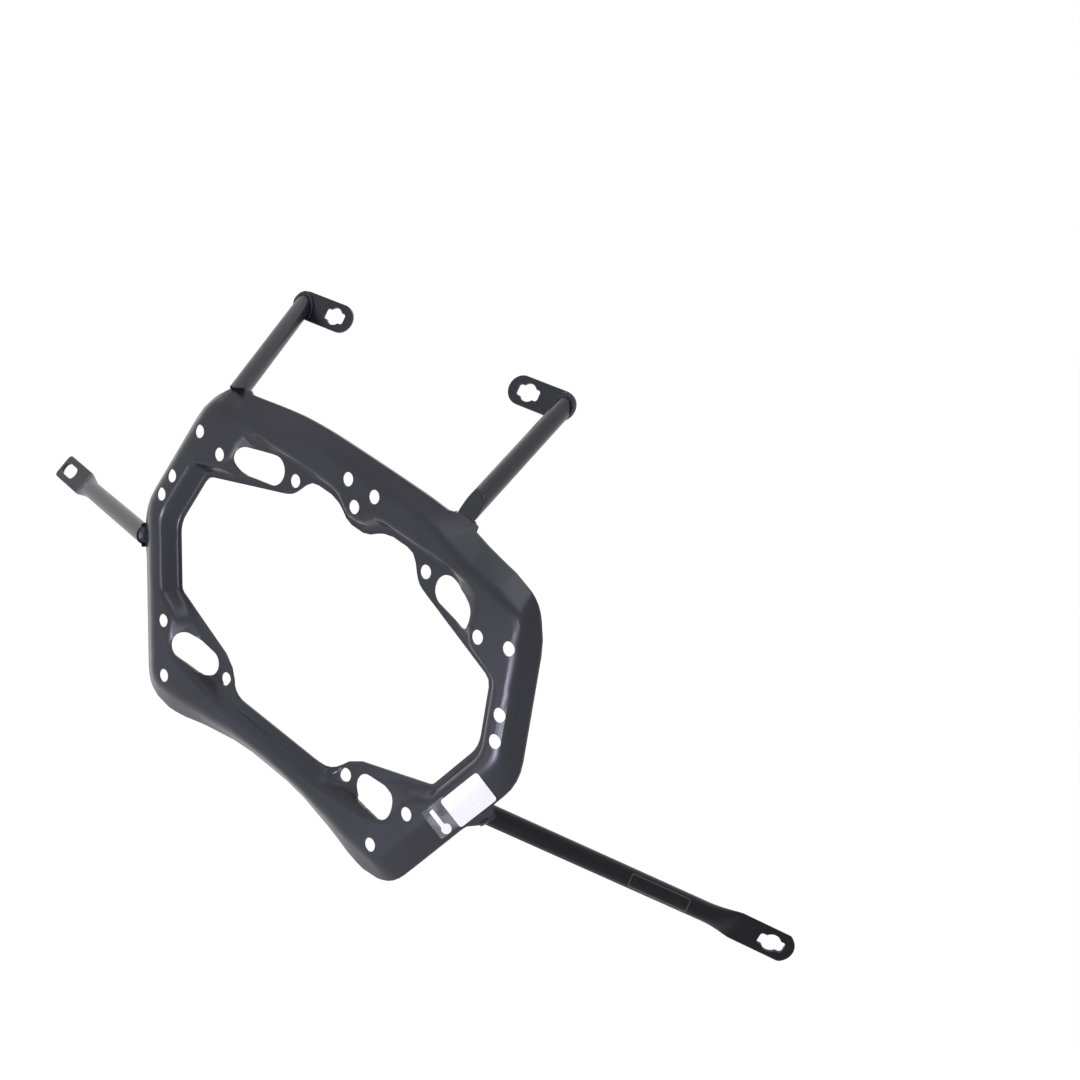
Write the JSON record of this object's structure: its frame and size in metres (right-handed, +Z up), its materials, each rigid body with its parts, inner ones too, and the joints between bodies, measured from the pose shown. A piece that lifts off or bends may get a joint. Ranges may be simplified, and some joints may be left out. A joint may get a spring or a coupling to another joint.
{
  "type": "motorbike pannier side frame",
  "caption": "Side frame for a motorbike pannier: pressed steel ring with a stepped opening, slots and fixing holes, tube arms ending in keyed lugs and struts pressed flat at their ends.",
  "frame": {"origin": "centre of the pattern of the four case holes, on the flat outer face of the ring", "axes": "+X along the bike towards the long strut, +Y inwards to the bike, +Z up"},
  "size_m": [0.8326, 0.2246, 0.3708],
  "materials": {
    "ring_coat": "satin powder coat",
    "tube_coat": "satin powder coat",
    "weld_coat": "powder coat over a weld bead"
  },
  "bodies": {
    "root": {"ring": "ring_coat", "left_arm": "tube_coat", "right_arm": "tube_coat", "left_lug": "tube_coat", "right_lug": "tube_coat", "short_strut": "tube_coat", "long_strut": "tube_coat", "left_arm_weld": "weld_coat", "right_arm_weld": "weld_coat", "left_lug_weld": "weld_coat", "right_lug_weld": "weld_coat", "short_strut_weld": "weld_coat", "long_strut_weld": "weld_coat"}
  },
  "joints": []
}
